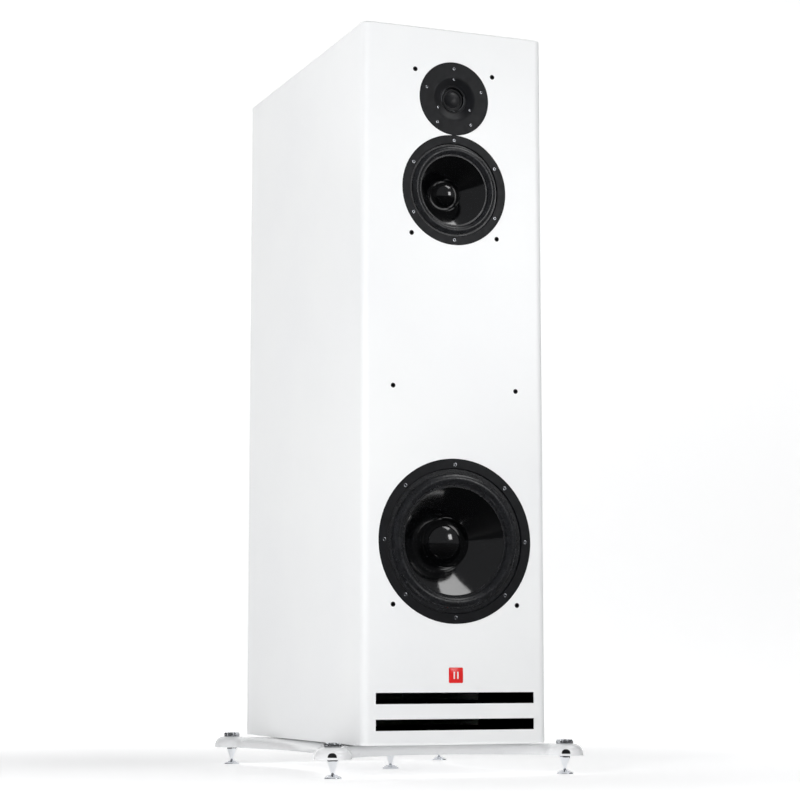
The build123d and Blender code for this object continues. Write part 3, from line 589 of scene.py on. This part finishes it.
dome = turned("tweeterDome", domeOutline(tweeterSizes["dome"]), tweeter)
finishPiece(dome, "silk", "tweeter_dome", "tweeter_diaphragm")
domeRoll = turned("tweeterSurround", rollOutline(tweeterSizes["roll"]), tweeter)
finishPiece(domeRoll, "silk", "tweeter_surround", None)
bendBetween(domeRoll)
print("tweeter dome made")

# badge: red enamel with two plain upright bars

badgeSizes = {
    "corner": 2.0, "cornerSteps": 6, "edge": 0.5, "edgeStep": 0.15, "edgeShare": 0.6, "sharpAngle": 35,
    "barSpacing": 6.0, "barWidth": 2.2, "barTall": 11.0, "barRise": 0.25, "barEdge": 0.15,
}

def makeBadge():
    low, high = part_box("badge")
    centre = (low + high) / 2
    edge, steps = badgeSizes["edge"] * mm, badgeSizes["cornerSteps"]
    halfSide = (high.x - low.x) / 2 - edge
    corner = badgeSizes["corner"] * mm - edge
    shape = bmesh.new()
    loops = []
    for depth, grow in ((high.y, 1.0), (low.y + edge, 1.0),
                        (low.y + badgeSizes["edgeStep"] * mm, badgeSizes["edgeShare"]), (low.y, 0.0)):
        loop = []
        for side in range(4):
            for step in range(steps + 1):
                angle = pi / 2 * side + pi / 2 * step / steps
                reach = corner + grow * edge
                cornerX = (halfSide - corner) * (1 if side in (0, 3) else -1)
                cornerZ = (halfSide - corner) * (1 if side in (0, 1) else -1)
                loop.append(shape.verts.new((centre.x + cornerX + reach * cos(angle), depth,
                                             centre.z + cornerZ + reach * sin(angle))))
        loops.append(loop)
    for lower, upper in zip(loops, loops[1:]):
        for index in range(len(lower)):
            after = (index + 1) % len(lower)
            shape.faces.new((lower[index], lower[after], upper[after], upper[index]))
    shape.faces.new(loops[0])
    shape.faces.new(loops[-1])
    bmesh.ops.recalc_face_normals(shape, faces=shape.faces)
    mesh = bpy.data.meshes.new("badgePlate")
    shape.to_mesh(mesh)
    shape.free()
    smoothMesh(mesh, badgeSizes["sharpAngle"])
    plate = bpy.data.objects.new("badgePlate", mesh)
    bpy.context.scene.collection.objects.link(plate)
    finishPiece(plate, "red", "badge", "root")
    for side in (-1, 1):
        middle = Vector((centre.x + side * badgeSizes["barSpacing"] / 2 * mm, low.y, centre.z))
        bpy.ops.mesh.primitive_cube_add(size=1, location=middle)
        bar = bpy.context.object
        bar.name = "badgeBarLeft" if side < 0 else "badgeBarRight"
        bar.data.transform(Matrix.Diagonal((badgeSizes["barWidth"] * mm, 2 * badgeSizes["barRise"] * mm,
                                            badgeSizes["barTall"] * mm, 1)))
        rim = bar.modifiers.new("softEdge", "BEVEL")
        rim.width = badgeSizes["barEdge"] * mm
        rim.segments = 2
        bar.data.materials.append(looks["white"])
        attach(bar, "root")

makeBadge()
print("badge made")

# feet: shoes, pointed feet and lock knobs

footSizes = {
    # outlines are (radius, height) or (radius, height, corner radius), in millimetres
    "shoe": [(0, 0), (13.2, 0, 0.4), (14.0, 0.9, 0.7), (12.9, 2.6, 2.2), (9.6, 4.6, 2.6), (5.6, 6.5, 1.0),
             (3.4, 6.5, 0.3), (1.6, 2.5), (0, 2.5)],
    "shoeSteps": 6,
    "point": [(0, 2.55), (0.8, 2.55, 0.3), (2.2, 6.5, 3.0)],
    # the collar's heights are measured from the underside of the plate
    "collar": [(8.0, -4.2, 0.6), (8.4, -3.0, 0.4), (8.4, -0.1, 0.4), (3.9, -0.05)],
    "stud": 3.9, "pitch": 1.5, "threadDepth": 0.35, "threadStart": 0.4, "threadEnd": 0.8,
    # the stud's end is measured from its own radius and top
    "studEnd": [(-0.5, -0.2, 0.3), (-1.2, 0)],
}
knobSizes = {
    "rim": 13.3, "tall": 6.8, "bore": 4.0, "cornerSteps": 4,
    # the top runs down into a shallow dish round the stud, measured from the knob's top
    "dish": [(9.0, 0, 0.8), (8.0, -0.7, 0.5), (5.6, -0.5, 0.4), (5.0, -0.1, 0.3), (4.0, -0.1)],
    "scallops": 8, "scallopDepth": 1.9, "scallopFrom": 8.5, "scallopReach": 4.5, "scallopShape": 0.7,
}

def spikeOutline(studTop):
    base, stud = plateLow.z / mm, footSizes["stud"]
    outline = list(footSizes["point"])
    outline += [(radius, base + height, *corner) for radius, height, *corner in footSizes["collar"]]
    turns = int((studTop - footSizes["threadEnd"] - base) / footSizes["pitch"])
    for turn in range(turns):
        root = base + footSizes["threadStart"] + turn * footSizes["pitch"]
        outline.append((stud - footSizes["threadDepth"], root))
        outline.append((stud, root + footSizes["pitch"] / 2))
    outline += [(stud + radius, studTop + height, *corner)
                for radius, height, *corner in footSizes["studEnd"]]
    return softened(outline + [(0, studTop)])

def scalloped(radius, angle):
    # eight finger hollows round the rim; the middle of the knob stays round
    share = min(max((radius - knobSizes["scallopFrom"]) / knobSizes["scallopReach"], 0), 1)
    wave = max(cos(angle * knobSizes["scallops"]), 0) ** knobSizes["scallopShape"]
    return radius - share * knobSizes["scallopDepth"] * wave

def knobOutline():
    rim, tall = knobSizes["rim"], knobSizes["tall"]
    side = [(knobSizes["bore"], 0), (rim - 0.6, 0, 0.3), (rim, 0.8, 0.5), (rim, tall - 1.8, 1.4),
            (rim - 1.6, tall, 1.4)]
    dish = [(radius, tall + height, *corner) for radius, height, *corner in knobSizes["dish"]]
    return softened(side + dish, knobSizes["cornerSteps"])

def makeFoot(place, centre):
    def chromePart(kind, outline, start, segments, radiusAt=None):
        piece = turned(kind + "_" + place, outline, start, False, segments, radiusAt)
        finishPiece(piece, "chrome", "foot_" + kind + "_" + place,
                    "foot_" + place + "_" + kind)

    ground = Vector((centre.x, centre.y, 0))
    shoeOutline = softened(footSizes["shoe"], footSizes["shoeSteps"])
    chromePart("shoe", shoeOutline, ground, turnSettings["aroundShoe"])
    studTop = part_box("foot_spike_" + place)[1].z / mm
    chromePart("spike", spikeOutline(studTop), ground, turnSettings["aroundSpike"])
    knobNode = "foot_knob_" + place
    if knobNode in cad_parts:
        seat = Vector((centre.x, centre.y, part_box(knobNode)[0].z))
        chromePart("knob", knobOutline(), seat, turnSettings["aroundKnob"], scalloped)

for place, centre in footPlaces.items():
    makeFoot(place, centre)
print("feet made:", len(footPlaces))

# floor, light and camera

studio = {
    "floor": "#FFFFFF", "worldStrength": 0.13, "worldColour": "#F4F6FA",
    # the sweep glows less round the feet, so that shadows stay visible, and more further out
    "nearGlow": 0.32, "farGlow": 0.6, "nearReach": 0.4, "farReach": 1.5,
    # the floor runs back, curves up and ends in a wall
    "sweepFront": -9.0, "sweepBack": 3.2, "sweepCurve": 2.2, "sweepTop": 8.0, "sweepSide": 9.0,
    "sweepSteps": 16,
    "shellRadius": 8.8, "shellTall": 12.0, "shellDrop": 1.0, "shellGlow": 0.9,
    "lights": [
        # name, place, size across and up, power, what it points at, seen in reflections
        ("overheadSoftbox", (1.5, -0.95, 3.3), (2.9, 1.3), 29, (0, -0.2, 0.5), True),
        ("rightFrontSoftbox", (1.35, -2.7, 1.4), (0.7, 0.9), 8, (0, -0.2, 0.7), True),
        ("leftFrontSoftbox", (-1.9, -2.6, 1.5), (1.6, 1.8), 13, (0, 0, 0.6), False),
        ("leftSoftbox", (-1.6, -1.5, 0.7), (0.8, 1.2), 16, (0, 0, 0.5), False),
    ],
    # black cards that only reflections see give the chrome and the gloss something dark to mirror
    "cards": [
        ("leftRearCard", (-1.3, 1.1, 0.7), (1.3, 1.4), (0, 0.2, 0.5)),
        ("leftFloorCard", (-0.9, 0.2, 0.004), (1.26, 1.3), (-0.9, 0.2, 1.0)),
        ("rightFloorCard", (0.9, 0.2, 0.004), (1.26, 1.3), (0.9, 0.2, 1.0)),
        ("wooferFloorCard", (0.085, -0.385, 0.004), (0.43, 0.17), (0.085, -0.385, 1.0)),
        ("frontFloorCard", (0.0, -4.77, 0.004), (18.0, 8.6), (0, -4.77, 1.0)),
    ],
}

def makeFloor():
    mesh = bpy.data.meshes.new("studioFloor")
    shape = bmesh.new()
    back, curve = studio["sweepBack"], studio["sweepCurve"]
    side, steps = studio["sweepSide"], studio["sweepSteps"]
    angles = [pi / 2 * step / steps for step in range(1, steps + 1)]
    profile = [(studio["sweepFront"], 0.0), (back, 0.0)]
    profile += [(back + curve * sin(angle), curve - curve * cos(angle)) for angle in angles]
    profile += [(back + curve, studio["sweepTop"])]
    sides = [[shape.verts.new((x, y, z)) for y, z in profile] for x in (-side, side)]
    for row in range(len(profile) - 1):
        shape.faces.new((sides[0][row], sides[1][row], sides[1][row + 1], sides[0][row + 1]))
    shape.to_mesh(mesh)
    shape.free()
    for polygon in mesh.polygons:
        polygon.use_smooth = True
    material, tree, surface, place = newMaterial("paintedSweep", {
        "Base Color": toLinear(studio["floor"]), "Roughness": 0.9, "Specular IOR Level": 0.1,
        "Emission Color": (1, 1, 1, 1)})
    reach = addNode(tree, "ShaderNodeVectorMath", {"operation": "LENGTH"})
    tree.links.new(place, reach.inputs[0])
    glow = addNode(tree, "ShaderNodeMapRange", {
        "interpolation_type": "SMOOTHSTEP", "From Min": studio["nearReach"], "From Max": studio["farReach"],
        "To Min": studio["nearGlow"], "To Max": studio["farGlow"]}, {"Value": reach.outputs["Value"]})
    tree.links.new(glow.outputs["Result"], surface.inputs["Emission Strength"])
    mesh.materials.append(material)
    floor = bpy.data.objects.new("studioFloor", mesh)
    bpy.context.scene.collection.objects.link(floor)

def makeLights():
    world = bpy.data.worlds.new("studioWorld")
    world.use_nodes = True
    backdrop = world.node_tree.nodes["Background"]
    backdrop.inputs["Color"].default_value = toLinear(studio["worldColour"])
    backdrop.inputs["Strength"].default_value = studio["worldStrength"]
    bpy.context.scene.world = world
    for name, place, size, power, target, inReflections in studio["lights"]:
        lamp = bpy.data.lights.new(name, "AREA")
        lamp.shape = "RECTANGLE"
        lamp.size, lamp.size_y = size
        lamp.energy = power
        holder = bpy.data.objects.new(name, lamp)
        holder.location = place
        holder.visible_glossy = inReflections
        holder.visible_camera = False
        holder.rotation_euler = (Vector(target) - Vector(place)).to_track_quat("-Z", "Y").to_euler()
        bpy.context.scene.collection.objects.link(holder)

def makeShell():
    # pale backdrop for the side and back views only; it gives no light and isn't reflected
    bpy.ops.mesh.primitive_cylinder_add(
        vertices=96, radius=studio["shellRadius"], depth=studio["shellTall"], end_fill_type="NOTHING",
        location=(0, 0, studio["shellTall"] / 2 - studio["shellDrop"]))
    shell = bpy.context.object
    shell.name = "backdropShell"
    material = newMaterial("whiteBackdropCloth", {
        "Base Color": toLinear(studio["floor"]), "Roughness": 1.0,
        "Emission Color": (1, 1, 1, 1), "Emission Strength": studio["shellGlow"]})[0]
    shell.data.materials.append(material)
    shell.visible_diffuse = False
    shell.visible_glossy = False
    shell.visible_transmission = False
    shell.visible_shadow = False

def makeCards():
    material, tree, surface, place = newMaterial("blackVelvetCard", {"Roughness": 1.0, "Sheen Weight": 0.05})
    variedColour(tree, surface, place, "#050505", "#0A0A0B", 30)
    for name, place, size, target in studio["cards"]:
        bpy.ops.mesh.primitive_plane_add(size=1, location=place)
        card = bpy.context.object
        card.name = name
        card.scale = (*size, 1)
        card.rotation_euler = (Vector(target) - Vector(place)).to_track_quat("-Z", "Y").to_euler()
        card.visible_camera = False
        card.visible_diffuse = False
        card.visible_shadow = False
        card.data.materials.append(material)

# the camera stands low and to the left, this far in front of the baffle, and looks slightly up
view = {"lens": 95.16, "sensor": 36.0, "across": -1.2914, "inFront": 2.9983, "height": 0.1735,
        "lookUp": 7.066, "turn": -21.80}

def makeCamera():
    data = bpy.data.cameras.new("camera")
    data.lens = view["lens"]
    data.sensor_width = view["sensor"]
    camera = bpy.data.objects.new("camera", data)
    camera.location = (view["across"], faceY - view["inFront"], view["height"])
    camera.rotation_euler = (radians(90 + view["lookUp"]), 0, radians(view["turn"]))
    bpy.context.scene.collection.objects.link(camera)
    bpy.context.scene.camera = camera

makeFloor()
makeShell()
makeLights()
makeCards()
makeCamera()
bpy.context.scene.view_settings.view_transform = "Standard"
print("floor, lights and camera set")
